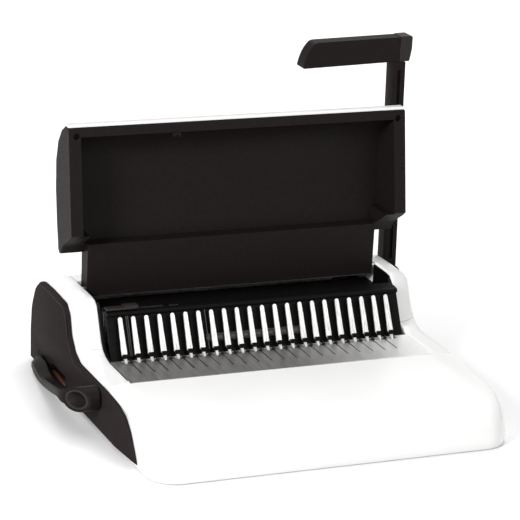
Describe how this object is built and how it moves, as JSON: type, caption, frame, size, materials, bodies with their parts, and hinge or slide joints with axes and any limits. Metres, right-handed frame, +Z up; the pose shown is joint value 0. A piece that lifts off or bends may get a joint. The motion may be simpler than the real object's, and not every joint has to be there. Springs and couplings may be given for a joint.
{
  "type": "comb binding machine",
  "caption": "Manual desktop comb binder with an opening lid, a side punch lever, a comb opening lever, a sliding edge guide and a chip drawer.",
  "frame": {"origin": "centre of the overall box, on the surface that the feet stand on", "axes": "+X to the user's right along the comb row, +Y to the back, +Z up"},
  "size_m": [0.46, 0.3754, 0.3395],
  "materials": {
    "white_shell": "gloss",
    "charcoal_plastic": "satin, fine grain",
    "black_plastic": "matte",
    "black_painted_steel": "satin",
    "polished_steel": "polished",
    "bare_steel": "brushed",
    "rubber_foot": "matte"
  },
  "bodies": {
    "chassis": {"front_cover": "white_shell", "left_cheek_cover": "white_shell", "right_cheek_cover": "white_shell", "base_pan": "black_plastic", "foot_front_left": "rubber_foot", "foot_front_right": "rubber_foot", "foot_rear_left": "rubber_foot", "foot_rear_right": "rubber_foot", "rear_cover": "white_shell", "left_side_panel": "charcoal_plastic", "right_side_panel": "charcoal_plastic", "left_frame_plate": "black_painted_steel", "right_frame_plate": "black_painted_steel", "comb_plate": "polished_steel", "tine_row": "polished_steel", "comb_lever_bush": "black_plastic", "punch_housing": "black_plastic", "edge_guide_track": "bare_steel", "die_plate": "bare_steel", "guide_plate": "bare_steel", "throat_floor": "black_plastic", "rear_deck": "black_plastic", "chip_chute": "charcoal_plastic", "lid_pin_left": "polished_steel", "lid_pin_right": "polished_steel"},
    "lid": {"lid_frame": "charcoal_plastic", "lid_shell": "white_shell", "lid_screw_left": "black_painted_steel", "lid_screw_right": "black_painted_steel"},
    "punch_lever": {"punch_shaft": "polished_steel", "punch_pinion_left": "bare_steel", "punch_pinion_right": "bare_steel", "lever_arm": "charcoal_plastic", "lever_corner_cap": "charcoal_plastic", "lever_grip": "charcoal_plastic"},
    "punch_bar": {"pressure_bar": "bare_steel", "punch_pins": "polished_steel"},
    "comb_lever": {"comb_lever_shaft": "polished_steel", "comb_crank": "bare_steel", "comb_lever_arm": "charcoal_plastic", "comb_knob": "charcoal_plastic"},
    "hook_drive": {"drive_shaft": "polished_steel", "drive_crank": "bare_steel", "hook_pinion_left": "bare_steel", "hook_pinion_right": "bare_steel"},
    "crank_link": {"crank_link": "bare_steel"},
    "hook_slide": {"hook_rack": "bare_steel"},
    "edge_guide": {"edge_guide": "charcoal_plastic"},
    "chip_drawer": {"chip_tray": "charcoal_plastic", "chip_tray_front": "charcoal_plastic"}
  },
  "joints": [
    {"name": "lid_hinge", "type": "hinge", "parent": "chassis", "child": "lid", "pos_m": [0.0025, 0.10775, 0.1], "axis": [1, 0, 0], "range_deg": [0, 95]},
    {"name": "punch_lever_hinge", "type": "hinge", "parent": "chassis", "child": "punch_lever", "pos_m": [0.0025, 0.15775, 0.064], "axis": [1, 0, 0], "range_deg": [0, 92]},
    {"name": "punch_travel", "type": "slide", "parent": "chassis", "child": "punch_bar", "axis": [0, 1, 0], "range_m": [-0.0131, 0.0005]},
    {"name": "comb_lever_hinge", "type": "hinge", "parent": "chassis", "child": "comb_lever", "pos_m": [-0.2, 0.13175, 0.0145], "axis": [1, 0, 0], "range_deg": [-105, 0]},
    {"name": "hook_drive_spin", "type": "hinge", "parent": "chassis", "child": "hook_drive", "pos_m": [0.0025, 0.08175, 0.0619], "axis": [1, 0, 0], "range_deg": [-106, 1]},
    {"name": "crank_link_pivot", "type": "hinge", "parent": "comb_lever", "child": "crank_link", "pos_m": [-0.1805, 0.12925, 0.0303], "axis": [1, 0, 0], "range_deg": [-1, 106]},
    {"name": "hook_travel", "type": "slide", "parent": "chassis", "child": "hook_slide", "axis": [0, 1, 0], "range_m": [-0.0215, 0.0005]},
    {"name": "edge_guide_slide", "type": "slide", "parent": "chassis", "child": "edge_guide", "axis": [1, 0, 0], "range_m": [0, 0.03]},
    {"name": "chip_drawer_slide", "type": "slide", "parent": "chassis", "child": "chip_drawer", "axis": [1, 0, 0], "range_m": [0, 0.3]}
  ],
  "couplings": [
    {"joint": "punch_travel", "follows": "punch_lever_hinge", "m_per_rad": -0.0079577},
    {"joint": "hook_drive_spin", "follows": "comb_lever_hinge", "ratio": 1},
    {"joint": "crank_link_pivot", "follows": "comb_lever_hinge", "ratio": -1},
    {"joint": "hook_travel", "follows": "comb_lever_hinge", "m_per_rad": 0.011459}
  ]
}
